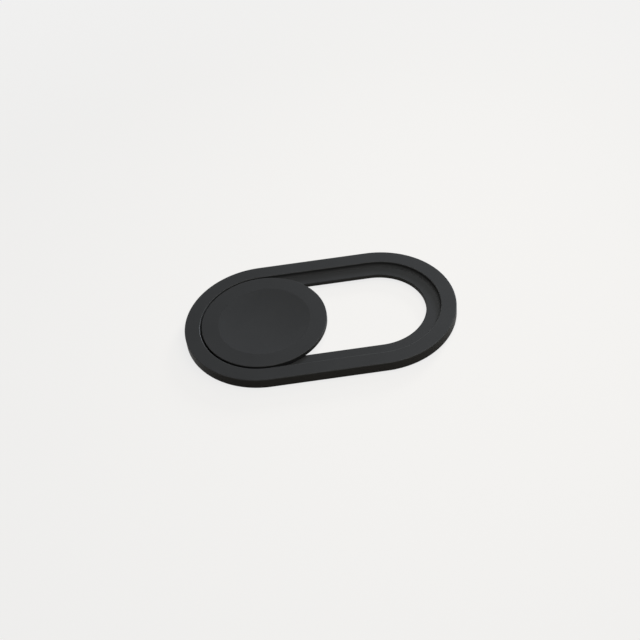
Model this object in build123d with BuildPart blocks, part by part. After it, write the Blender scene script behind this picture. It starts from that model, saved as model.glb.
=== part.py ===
"""Webcam cover slider: an oblong frame, a round slider that shuts its window, and a ring of tape.

Millimetres. The origin is the centre of the face that sticks to the screen, +X runs along the frame towards
the half of the window that is open at rest, and +Z points away from the screen.
"""

import os

from build123d import *

# Frame: one moulded oblong ring with a rim, a ledge and a window
frame_length = 17.0
frame_width = 10.0
frame_height = 0.67
rim_width = 0.96
recess_depth = 0.3
ledge_width = 0.915
channel_depth = 0.12
outer_edge_radius = 0.05
rim_inner_edge_radius = 0.05
rim_inner_edge_share = 0.35
recess_foot_radius = 0.17
recess_foot_share = 0.6
window_edge_radius = 0.05

# Tape: a die-cut ring under the frame
tape_thickness = 0.13
tape_inset = 0.25
tape_channel_margin = 0.2

# Slider: a round disc with a finger dish, a neck through the window and two wings under the ledge
disc_thickness = 0.3
disc_edge_radius = 0.04
dish_radius = 2.88
dish_depth = 0.22
neck_wall = 0.7
crown_thickness = 0.36
wing_length = 2.0
wing_reach = 0.2
wing_thickness = 0.16
wing_lead_in = 0.06

# Clearances between the slider and the frame
disc_side_gap = 0.12
neck_side_gap = 0.06
neck_end_gap = 0.05
running_gap = 0.02
wing_side_gap = 0.075
wing_end_gap = 0.1

# Frame levels and outlines
frame_bottom = tape_thickness
rim_top = frame_bottom + frame_height
ledge_top = rim_top - recess_depth
ledge_bottom = frame_bottom + channel_depth
recess_length = frame_length - 2 * rim_width
recess_width = frame_width - 2 * rim_width
window_length = recess_length - 2 * ledge_width
window_width = recess_width - 2 * ledge_width

# Each round on the recess wall takes at most its share of the wall's height
rim_inner_round = min(rim_inner_edge_radius, rim_inner_edge_share * recess_depth)
recess_foot_round = min(recess_foot_radius, recess_foot_share * recess_depth)

# Slider levels and outlines
disc_bottom = ledge_top + running_gap
disc_top = disc_bottom + disc_thickness
disc_radius = recess_width / 2 - disc_side_gap
neck_radius = window_width / 2 - neck_side_gap
wing_top = ledge_bottom - running_gap
wing_bottom = wing_top - wing_thickness
wing_tip = window_width / 2 + wing_reach
pocket_top = disc_top - dish_depth - crown_thickness
pocket_radius = neck_radius - neck_wall

# At rest the neck stands at the left end of the window
rest_x = neck_radius + neck_end_gap - window_length / 2
slider_travel = -2 * rest_x

# The channel's straight sides run on as far as the wings go at either end
channel_margin = wing_reach + wing_side_gap
channel_length = window_length + 2 * channel_margin
channel_width = window_width + 2 * channel_margin
wing_run = slider_travel / 2 + wing_length / 2 + wing_end_gap
channel_corner = channel_length / 2 - wing_run

with BuildPart() as frame:
    with BuildSketch(Plane.XY.offset(frame_bottom)):
        SlotOverall(frame_length, frame_width)
    extrude(amount=frame_height)
    fillet(frame.edges().group_by(Axis.Z)[-1], outer_edge_radius)

    # Recess that the disc runs in
    with BuildSketch(Plane.XY.offset(ledge_top)):
        SlotOverall(recess_length, recess_width)
    extrude(amount=recess_depth, mode=Mode.SUBTRACT)
    fillet(frame.edges(Select.LAST).group_by(Axis.Z)[0], recess_foot_round)
    rim_face = frame.faces().sort_by(Axis.Z)[-1]
    fillet(rim_face.inner_wires()[0].edges(), rim_inner_round)

    # Window through the ledge
    with BuildSketch(Plane.XY.offset(frame_bottom)):
        SlotOverall(window_length, window_width)
    extrude(amount=ledge_top - frame_bottom, mode=Mode.SUBTRACT)
    fillet(frame.edges(Select.LAST).group_by(Axis.Z)[-1], window_edge_radius)

    # Channel underneath, for the wings
    with BuildSketch(Plane.XY.offset(frame_bottom)):
        RectangleRounded(channel_length, channel_width, channel_corner)
    extrude(amount=channel_depth, mode=Mode.SUBTRACT)

with BuildPart() as slider:
    # Disc with its dish, and the neck below it, turned about the slider's own axis
    with BuildSketch(Plane((rest_x, 0, 0), x_dir=(1, 0, 0), z_dir=(0, -1, 0))) as section:
        with BuildLine():
            dish = TangentArc((0, disc_top - dish_depth), (dish_radius, disc_top), tangent=(1, 0))
            Polyline(
                dish @ 1,
                (disc_radius, disc_top),
                (disc_radius, disc_bottom),
                (neck_radius, disc_bottom),
                (neck_radius, wing_bottom),
                (0, wing_bottom),
                dish @ 0,
            )
        make_face()
        fillet(section.vertices().group_by(Axis.X)[-1], disc_edge_radius)
    revolve(axis=Axis((rest_x, 0, 0), (0, 0, 1)))

    # Wings that run under the ledge, with a lead-in for pressing them through the window
    with BuildSketch(Plane((rest_x, 0, wing_bottom))):
        Rectangle(wing_length, 2 * wing_tip)
    extrude(amount=wing_thickness)
    chamfer(slider.edges().filter_by(Axis.X).group_by(Axis.Z)[0], wing_lead_in)

    # Pocket that cores out the neck
    with BuildSketch(Plane((rest_x, 0, wing_bottom))):
        Circle(pocket_radius)
    extrude(amount=pocket_top - wing_bottom, mode=Mode.SUBTRACT)

with BuildPart() as adhesive_ring:
    with BuildSketch():
        SlotOverall(frame_length - 2 * tape_inset, frame_width - 2 * tape_inset)
        RectangleRounded(
            channel_length + 2 * tape_channel_margin,
            channel_width + 2 * tape_channel_margin,
            channel_corner + tape_channel_margin,
            mode=Mode.SUBTRACT,
        )
    extrude(amount=tape_thickness)

frame.part.label = "frame"
slider.part.label = "slider"
adhesive_ring.part.label = "adhesive_ring"

os.makedirs("parts", exist_ok=True)
export_step(frame.part, "parts/frame.step")
export_step(slider.part, "parts/slider.step")
export_step(adhesive_ring.part, "parts/adhesive_ring.step")
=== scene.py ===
import math

import bmesh
import bpy
from mathutils import Matrix, Vector


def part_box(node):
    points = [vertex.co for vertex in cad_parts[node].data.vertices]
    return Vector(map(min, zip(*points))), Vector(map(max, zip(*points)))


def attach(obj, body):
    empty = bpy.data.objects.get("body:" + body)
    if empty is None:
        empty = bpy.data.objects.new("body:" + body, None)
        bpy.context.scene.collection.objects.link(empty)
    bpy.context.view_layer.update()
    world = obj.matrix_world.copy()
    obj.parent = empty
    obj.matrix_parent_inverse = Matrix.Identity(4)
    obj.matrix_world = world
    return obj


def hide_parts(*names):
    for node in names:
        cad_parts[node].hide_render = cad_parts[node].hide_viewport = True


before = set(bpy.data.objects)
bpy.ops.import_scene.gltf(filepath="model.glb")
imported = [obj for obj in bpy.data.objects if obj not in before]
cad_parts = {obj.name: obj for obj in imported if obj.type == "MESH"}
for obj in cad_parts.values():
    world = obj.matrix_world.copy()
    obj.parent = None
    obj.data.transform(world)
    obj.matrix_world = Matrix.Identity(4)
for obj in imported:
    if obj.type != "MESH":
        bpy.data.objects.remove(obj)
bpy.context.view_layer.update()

MM = 0.001

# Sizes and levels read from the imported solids
frame_low, frame_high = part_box("frame")
slider_low, slider_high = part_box("slider")
tape_low, tape_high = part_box("adhesive_ring")
outer_radius = frame_high.y
end_x = frame_high.x - outer_radius
frame_bottom = frame_low.z
rim_top = frame_high.z
slider_x = (slider_low.x + slider_high.x) / 2
disc_radius = slider_high.y
disc_top = slider_high.z
wing_bottom = slider_low.z
tape_radius = tape_high.y

# Sizes that the boxes don't show
rim_width = 0.96 * MM
recess_depth = 0.3 * MM
ledge_width = 0.915 * MM
channel_depth = 0.12 * MM
channel_margin = 0.275 * MM
channel_corner_offset = 1.11 * MM
tape_channel_margin = 0.2 * MM
disc_thickness = 0.3 * MM
dish_radius = 2.88 * MM
dish_depth = 0.22 * MM
neck_side_gap = 0.06 * MM
neck_wall = 0.7 * MM
crown_thickness = 0.36 * MM
wing_half_length = 1.0 * MM
wing_reach = 0.2 * MM
wing_thickness = 0.16 * MM
wing_lead_in = 0.06 * MM

# Edge radii
outer_edge_radius = 0.05 * MM
rim_inner_edge_radius = 0.05 * MM
recess_foot_radius = 0.17 * MM
window_edge_radius = 0.05 * MM
disc_edge_radius = 0.04 * MM
underside_edge_radius = 0.02 * MM

# Plastic: two near blacks, a finish for the flats and a shinier one for the rounded edges
plastic_dark = (0.0362, 0.0368, 0.0376)
plastic_pale = (0.0392, 0.0398, 0.0406)
plastic_index = 1.52
flat_roughness = 0.4
flat_specular = 0.02
edge_roughness = 0.3
edge_specular = 0.08
roughness_spread = 0.03
plastic_cloud_size = 1.6 * MM
grain_size = 0.06 * MM
grain_depth = 0.004 * MM
grain_strength = 0.35

# Tape: a milky film with fine streaks
tape_dark = (0.5, 0.5, 0.47)
tape_pale = (0.6, 0.6, 0.57)
tape_index = 1.47
tape_roughness_low = 0.25
tape_roughness_high = 0.4
tape_cloud_size = 0.8 * MM
fibre_size = 0.12 * MM
fibre_depth = 0.006 * MM
fibre_strength = 0.3

# Values that most of a noise texture lies between
noise_low = 0.25
noise_high = 0.75

# Floor and studio
floor_half_side = 0.4
floor_colour = (0.53, 0.47, 0.38, 1)
floor_roughness = 0.9
floor_white_share = 0.8
floor_shade_reach = 30 * MM
floor_white_reach = 150 * MM
sky_light = (0.02, 0.015, 0.008)

# Camera, from a fit of the cover's outline in the photograph
view_azimuth = math.radians(-1.1144)
view_elevation = math.radians(44.4154)
view_roll = math.radians(-7.122)
view_distance = 70.922 * MM
pixels_per_metre = 16079.9
image_side = 640
centre_pixel = (320.1143, 312.9829)
sensor_side = 36
nearest_seen = 1 * MM
farthest_seen = 10

# Mesh density
arc_steps = 128
straight_steps = 28
fillet_steps = 8
dish_steps = 24
disc_steps = 256
sharp_angle = math.radians(30)
flat_margin = 0.004 * MM
merge_distance = 1e-9

# Levels and radii that follow
recess_radius = outer_radius - rim_width
window_radius = recess_radius - ledge_width
channel_reach = window_radius + channel_margin
ledge_top = rim_top - recess_depth
ledge_bottom = frame_bottom + channel_depth
disc_bottom = disc_top - disc_thickness
neck_radius = window_radius - neck_side_gap
wing_tip = window_radius + wing_reach
wing_top = wing_bottom + wing_thickness
pocket_radius = neck_radius - neck_wall
pocket_top = disc_top - dish_depth - crown_thickness


def rounded(centre, radius, start, end):
    """Section points on a quarter round about a centre, from one direction to another in degrees.

    One more point lies just outside each end, so that the flat faces beside the round look flat.
    """
    turns = [start + (end - start) * step / fillet_steps for step in range(fillet_steps + 1)]
    angles = [math.radians(turn) for turn in turns]
    points = []
    for angle in angles:
        points.append((centre[0] + radius * math.cos(angle), centre[1] + radius * math.sin(angle)))
    margin = math.copysign(flat_margin, end - start)
    first, last = angles[0], angles[-1]
    before = (points[0][0] + margin * math.sin(first), points[0][1] - margin * math.cos(first))
    after = (points[-1][0] - margin * math.sin(last), points[-1][1] + margin * math.cos(last))
    return [before, *points, after]


def round_rows(place, before=0):
    """Rows of faces on one of a section's rounds, by its place among them.

    The number before says how many rows of faces come ahead of the first round.
    """
    points_on_round = fillet_steps + 3
    first = before + place * points_on_round + 1
    return set(range(first, first + fillet_steps))


def stations():
    """Places round the oblong: a point on its spine and the direction out from there."""
    places = []
    for side in (1, -1):
        for step in range(arc_steps):
            angle = math.pi * (step / arc_steps - 0.5)
            places.append((side * end_x, Vector((side * math.cos(angle), side * math.sin(angle), 0))))
        for step in range(straight_steps):
            places.append((side * end_x * (1 - 2 * step / straight_steps), Vector((0, side, 0))))
    return places


def rounded_rectangle_reach(direction, half_width):
    """How far the channel's rounded rectangle lies from the end of the spine, in one direction."""
    across, along = abs(direction.y), abs(direction.x)
    steep, flat = max(across, along), min(across, along)
    reach = half_width / steep
    if reach * flat <= channel_corner_offset:
        return reach
    corner_radius = half_width - channel_corner_offset
    middle = channel_corner_offset * (steep + flat)
    return middle + math.sqrt(middle ** 2 - 2 * channel_corner_offset ** 2 + corner_radius ** 2)


def oblong_ring(reach, level):
    """One closed line round the oblong, at a set distance from the spine or at a function's."""
    line = []
    for spine_x, direction in stations():
        distance = reach(direction) if callable(reach) else reach
        line.append((spine_x + direction.x * distance, direction.y * distance, level))
    return line


def loft(name, rings, crisp=(), edge_rows=(), closed=False):
    """A smooth mesh through closed lines of points, of which the first and last may be one point.

    It has hard edges along the crisp lines and at sharp turns. The faces that start at an edge row
    take the piece's second material.
    """
    shape = bmesh.new()
    rows = [[shape.verts.new(point) for point in ring] for ring in rings]
    pairs = list(zip(rows, rows[1:]))
    if closed:
        pairs.append((rows[-1], rows[0]))
    for index, (one, other) in enumerate(pairs):
        count = max(len(one), len(other))
        for i in range(count):
            j = (i + 1) % count
            near = [one[i % len(one)], one[j % len(one)]]
            far = [other[j % len(other)], other[i % len(other)]]
            face = shape.faces.new(list(dict.fromkeys(near + far)))
            face.material_index = 1 if index in edge_rows else 0
    for index in crisp:
        for vertex, following in zip(rows[index], rows[index][1:] + rows[index][:1]):
            shape.edges.get((vertex, following)).smooth = False
    bmesh.ops.remove_doubles(shape, verts=shape.verts, dist=merge_distance)
    bmesh.ops.recalc_face_normals(shape, faces=shape.faces)
    for face in shape.faces:
        face.smooth = True
    for edge in shape.edges:
        if edge.calc_face_angle(0) > sharp_angle:
            edge.smooth = False
    mesh = bpy.data.meshes.new(name)
    shape.to_mesh(mesh)
    shape.free()
    piece = bpy.data.objects.new(name, mesh)
    bpy.context.scene.collection.objects.link(piece)
    return piece


def make_frame():
    """The moulded ring: outer wall, rim, recess wall, ledge, window wall, and the channel underneath."""
    section = rounded((outer_radius - underside_edge_radius, frame_bottom + underside_edge_radius),
                      underside_edge_radius, -90, 0)
    section += rounded((outer_radius - outer_edge_radius, rim_top - outer_edge_radius),
                       outer_edge_radius, 0, 90)
    section += rounded((recess_radius + rim_inner_edge_radius, rim_top - rim_inner_edge_radius),
                       rim_inner_edge_radius, 90, 180)
    section += rounded((recess_radius - recess_foot_radius, ledge_top + recess_foot_radius),
                       recess_foot_radius, 0, -90)
    section += rounded((window_radius + window_edge_radius, ledge_top - window_edge_radius),
                       window_edge_radius, 90, 180)
    section.append((window_radius, ledge_bottom))
    rings = [oblong_ring(reach, level) for reach, level in section]

    def channel(direction):
        return rounded_rectangle_reach(direction, channel_reach)

    rings.append(oblong_ring(channel, ledge_bottom))
    rings.append(oblong_ring(channel, frame_bottom))

    # The shinier finish is on the rim's outer and inner edges
    edge_rows = round_rows(1) | round_rows(2)
    return loft("moulded_frame", rings, edge_rows=edge_rows, closed=True)


def make_tape():
    """The die-cut ring of tape under the frame."""
    def inner(direction):
        return rounded_rectangle_reach(direction, channel_reach + tape_channel_margin)

    rings = [
        oblong_ring(tape_radius, tape_low.z),
        oblong_ring(tape_radius, tape_high.z),
        oblong_ring(inner, tape_high.z),
        oblong_ring(inner, tape_low.z),
    ]
    return loft("tape_ring", rings, closed=True)


def wing_reach_at(angle, tip):
    """How far the neck with its wings reaches from the slider's axis, in one direction."""
    along, across = abs(math.cos(angle)), abs(math.sin(angle))
    side = math.hypot(wing_half_length, tip)
    if along * neck_radius >= wing_half_length:
        return neck_radius
    if along * side >= wing_half_length:
        return wing_half_length / along
    return tip / across


def slider_angles():
    """Even steps round the slider, with the corners of the wings among them."""
    angles = {2 * math.pi * step / disc_steps for step in range(disc_steps)}
    for tip in (neck_radius, wing_tip - wing_lead_in, wing_tip):
        reach = neck_radius if tip == neck_radius else math.hypot(wing_half_length, tip)
        corner = math.acos(wing_half_length / reach)
        angles |= {corner, math.pi - corner, math.pi + corner, 2 * math.pi - corner}
    return sorted(angles)


def slider_ring(reach, level):
    """One closed line round the slider's axis, at a set distance or at a function's."""
    line = []
    for angle in slider_angles():
        distance = reach(angle) if callable(reach) else reach
        line.append((slider_x + distance * math.cos(angle), distance * math.sin(angle), level))
    return line


def make_slider():
    """The disc with its finger dish, and below it the cored neck with its two wings."""
    dish_sphere = (dish_radius ** 2 + dish_depth ** 2) / (2 * dish_depth)
    rings = [[(slider_x, 0, disc_top - dish_depth)]]
    for step in range(1, dish_steps + 1):
        reach = dish_radius * step / dish_steps
        rise = dish_sphere - math.sqrt(dish_sphere ** 2 - reach ** 2)
        rings.append(slider_ring(reach, disc_top - dish_depth + rise))
    dish_edge = len(rings) - 1
    section = rounded((disc_radius - disc_edge_radius, disc_top - disc_edge_radius),
                      disc_edge_radius, 90, 0)
    section += rounded((disc_radius - disc_edge_radius, disc_bottom + disc_edge_radius),
                       disc_edge_radius, 0, -90)
    section += [(neck_radius, disc_bottom), (neck_radius, wing_top)]
    rings += [slider_ring(reach, level) for reach, level in section]

    def wings(angle):
        return wing_reach_at(angle, wing_tip)

    def wings_with_lead_in(angle):
        return wing_reach_at(angle, wing_tip - wing_lead_in)

    rings.append(slider_ring(wings, wing_top))
    rings.append(slider_ring(wings, wing_bottom + wing_lead_in))
    rings.append(slider_ring(wings_with_lead_in, wing_bottom))
    rings.append(slider_ring(pocket_radius, wing_bottom))
    rings.append(slider_ring(pocket_radius, pocket_top))
    rings.append([(slider_x, 0, pocket_top)])

    # The shinier finish is on the disc's top edge
    edge_rows = round_rows(0, dish_edge + 1)
    return loft("dished_slider", rings, crisp=[dish_edge], edge_rows=edge_rows)


def node_of(tree, kind, **settings):
    """A new shader node with its properties set."""
    node = tree.nodes.new(kind)
    for name, value in settings.items():
        setattr(node, name, value)
    return node


def new_material(name):
    """A new material, with its node tree and its shader."""
    material = bpy.data.materials.new(name)
    material.use_nodes = True
    tree = material.node_tree
    return material, tree, tree.nodes["Principled BSDF"]


def noise(tree, place, size, detail, roughness=0.5):
    """Noise whose features are about one size across, in metres."""
    texture = node_of(tree, "ShaderNodeTexNoise")
    texture.inputs["Scale"].default_value = 1 / size
    texture.inputs["Detail"].default_value = detail
    texture.inputs["Roughness"].default_value = roughness
    tree.links.new(place, texture.inputs["Vector"])
    return texture.outputs["Fac"]


def spread(tree, value, low, high):
    """A noise value spread from one number to another."""
    remap = node_of(tree, "ShaderNodeMapRange")
    remap.inputs["From Min"].default_value = noise_low
    remap.inputs["From Max"].default_value = noise_high
    remap.inputs["To Min"].default_value = low
    remap.inputs["To Max"].default_value = high
    tree.links.new(value, remap.inputs["Value"])
    return remap.outputs["Result"]


def between(tree, value, first, second):
    """A colour between two, chosen by a value from 0 to 1."""
    mix = node_of(tree, "ShaderNodeMix", data_type="RGBA")
    mix.inputs["A"].default_value = (*first, 1)
    mix.inputs["B"].default_value = (*second, 1)
    tree.links.new(value, mix.inputs["Factor"])
    return mix.outputs["Result"]


def relief(tree, shader, height, strength, depth):
    """A fine relief on a surface, from a noise value."""
    bump = node_of(tree, "ShaderNodeBump")
    bump.inputs["Strength"].default_value = strength
    bump.inputs["Distance"].default_value = depth
    tree.links.new(height, bump.inputs["Height"])
    tree.links.new(bump.outputs["Normal"], shader.inputs["Normal"])


def moulded_plastic(name, roughness, specular):
    """Black ABS from a spark-eroded mould: a fine matte grain, and faint clouds in its colour."""
    material, tree, shader = new_material(name)
    place = node_of(tree, "ShaderNodeTexCoord").outputs["Object"]
    clouds = noise(tree, place, plastic_cloud_size, detail=3)
    grain = noise(tree, place, grain_size, detail=2, roughness=0.6)
    colour = between(tree, spread(tree, clouds, 0, 1), plastic_dark, plastic_pale)
    matte = spread(tree, grain, roughness - roughness_spread, roughness + roughness_spread)
    tree.links.new(colour, shader.inputs["Base Color"])
    tree.links.new(matte, shader.inputs["Roughness"])
    shader.inputs["IOR"].default_value = plastic_index
    shader.inputs["Specular IOR Level"].default_value = specular
    relief(tree, shader, grain, grain_strength, grain_depth)
    return material


def tape_material():
    """Milky double-sided tape: a pale film with fine streaks and a soft shine."""
    material, tree, shader = new_material("milky_tape")
    place = node_of(tree, "ShaderNodeTexCoord").outputs["Object"]
    clouds = noise(tree, place, tape_cloud_size, detail=4)
    fibres = noise(tree, place, fibre_size, detail=3)
    colour = between(tree, spread(tree, clouds, 0, 1), tape_dark, tape_pale)
    matte = spread(tree, fibres, tape_roughness_low, tape_roughness_high)
    tree.links.new(colour, shader.inputs["Base Color"])
    tree.links.new(matte, shader.inputs["Roughness"])
    shader.inputs["IOR"].default_value = tape_index
    relief(tree, shader, fibres, fibre_strength, fibre_depth)
    return material


# Pieces, each on its body and in its node's place
frame_piece = make_frame()
frame_piece.data.materials.append(moulded_plastic("frame_plastic", flat_roughness, flat_specular))
frame_piece.data.materials.append(moulded_plastic("frame_edge_plastic", edge_roughness, edge_specular))
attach(frame_piece, "frame")
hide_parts("frame")

slider_piece = make_slider()
slider_piece.data.materials.append(moulded_plastic("slider_plastic", flat_roughness, flat_specular))
slider_piece.data.materials.append(moulded_plastic("slider_edge_plastic", edge_roughness, edge_specular))
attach(slider_piece, "slider")
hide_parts("slider")

tape_piece = make_tape()
tape_piece.data.materials.append(tape_material())
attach(tape_piece, "frame")
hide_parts("adhesive_ring")


def seen(tree):
    """One for rays from the camera, gloss and glass, and nought for light that falls on things."""
    path = node_of(tree, "ShaderNodeLightPath")
    value = path.outputs["Is Camera Ray"]
    for ray in ("Is Glossy Ray", "Is Transmission Ray"):
        either = node_of(tree, "ShaderNodeMath", operation="MAXIMUM")
        tree.links.new(value, either.inputs[0])
        tree.links.new(path.outputs[ray], either.inputs[1])
        value = either.outputs[0]
    return value


def whiter_away(tree, place):
    """The share of white in the floor's look, which rises to all of it far from the cover."""
    away = node_of(tree, "ShaderNodeVectorMath", operation="LENGTH")
    tree.links.new(place, away.inputs[0])
    rise = node_of(tree, "ShaderNodeMapRange")
    rise.inputs["From Min"].default_value = floor_shade_reach
    rise.inputs["From Max"].default_value = floor_white_reach
    rise.inputs["To Min"].default_value = floor_white_share
    rise.inputs["To Max"].default_value = 1
    tree.links.new(away.outputs["Value"], rise.inputs["Value"])
    return rise.outputs["Result"]


def mix_shaders(tree, factor, first, second, output):
    """Two shaders mixed by a factor, on the way to the output."""
    mix = node_of(tree, "ShaderNodeMixShader")
    tree.links.new(factor, mix.inputs[0])
    tree.links.new(first.outputs[0], mix.inputs[1])
    tree.links.new(second.outputs[0], mix.inputs[2])
    tree.links.new(mix.outputs[0], tree.nodes[output].inputs["Surface"])


def make_floor():
    """A plain pale floor that the cover lies on and that keeps its shadow."""
    half = floor_half_side
    corners = [(-half, -half, 0), (half, -half, 0), (half, half, 0), (-half, half, 0)]
    mesh = bpy.data.meshes.new("floor")
    mesh.from_pydata(corners, [], [(0, 1, 2, 3)])
    floor = bpy.data.objects.new("floor", mesh)
    bpy.context.scene.collection.objects.link(floor)
    material, tree, shader = new_material("pale_floor")
    shader.inputs["Base Color"].default_value = floor_colour
    shader.inputs["Roughness"].default_value = floor_roughness
    shader.inputs["Specular IOR Level"].default_value = 0
    white = node_of(tree, "ShaderNodeEmission")
    place = node_of(tree, "ShaderNodeTexCoord").outputs["Object"]
    share = node_of(tree, "ShaderNodeMath", operation="MULTIPLY")
    tree.links.new(seen(tree), share.inputs[0])
    tree.links.new(whiter_away(tree, place), share.inputs[1])
    mix_shaders(tree, share.outputs[0], shader, white, "Material Output")
    mesh.materials.append(material)


def make_world():
    """A white studio to look at, and a faint warm glow from all round as light."""
    world = bpy.data.worlds.new("studio")
    world.use_nodes = True
    tree = world.node_tree
    glow = tree.nodes["Background"]
    glow.inputs["Color"].default_value = (*sky_light, 1)
    glow.inputs["Strength"].default_value = 1
    white = node_of(tree, "ShaderNodeBackground")
    white.inputs["Color"].default_value = (1, 1, 1, 1)
    mix_shaders(tree, seen(tree), glow, white, "World Output")
    bpy.context.scene.world = world


def soft_box(name, zenith, azimuth, distance, size, light):
    """A square lamp that faces the cover, at angles in degrees from straight up and from the right.

    The light is the colour of a white card that lies at the cover and faces the lamp.
    """
    lamp = bpy.data.lights.new(name, "AREA")
    lamp.shape = "SQUARE"
    lamp.size = size
    lamp.energy = (math.pi * distance) ** 2
    lamp.color = light
    tilt, turn = math.radians(zenith), math.radians(azimuth)
    towards = Vector((math.sin(tilt) * math.cos(turn), math.sin(tilt) * math.sin(turn), math.cos(tilt)))
    stand = bpy.data.objects.new(name, lamp)
    stand.location = towards * distance
    stand.rotation_mode = "QUATERNION"
    stand.rotation_quaternion = towards.to_track_quat("Z", "Y")
    stand.visible_camera = False
    bpy.context.scene.collection.objects.link(stand)


def make_camera():
    """The photograph's camera: where it stands, how it is turned and its lens."""
    back = Vector((math.sin(view_azimuth) * math.cos(view_elevation),
                   -math.cos(view_azimuth) * math.cos(view_elevation), math.sin(view_elevation)))
    level = Vector((math.cos(view_azimuth), math.sin(view_azimuth), 0))
    upright = back.cross(level)
    right = math.cos(view_roll) * level + math.sin(view_roll) * upright
    up = math.cos(view_roll) * upright - math.sin(view_roll) * level
    aim = Vector((0, 0, rim_top))
    offset_right = (centre_pixel[0] - image_side / 2) / pixels_per_metre
    offset_up = (image_side / 2 - centre_pixel[1]) / pixels_per_metre
    place = aim - right * offset_right - up * offset_up + back * view_distance
    lens = bpy.data.cameras.new("camera")
    lens.sensor_width = sensor_side
    lens.lens = sensor_side * pixels_per_metre * view_distance / image_side
    lens.clip_start = nearest_seen
    lens.clip_end = farthest_seen
    camera = bpy.data.objects.new("camera", lens)
    turn = Matrix((right, up, back)).transposed()
    camera.matrix_world = Matrix.Translation(place) @ turn.to_4x4()
    bpy.context.scene.collection.objects.link(camera)
    bpy.context.scene.camera = camera


# Stage, light and camera
make_floor()
make_world()
soft_box("top_box", zenith=18, azimuth=-38, distance=42 * MM, size=34 * MM, light=(0.67, 0.67, 0.65))
soft_box("back_box", zenith=41, azimuth=54, distance=43 * MM, size=16 * MM, light=(0.22, 0.23, 0.235))
soft_box("low_right_box", zenith=70, azimuth=54, distance=286 * MM, size=60 * MM,
         light=(0.71, 0.76, 0.85))
make_camera()
bpy.context.scene.view_settings.view_transform = "Standard"
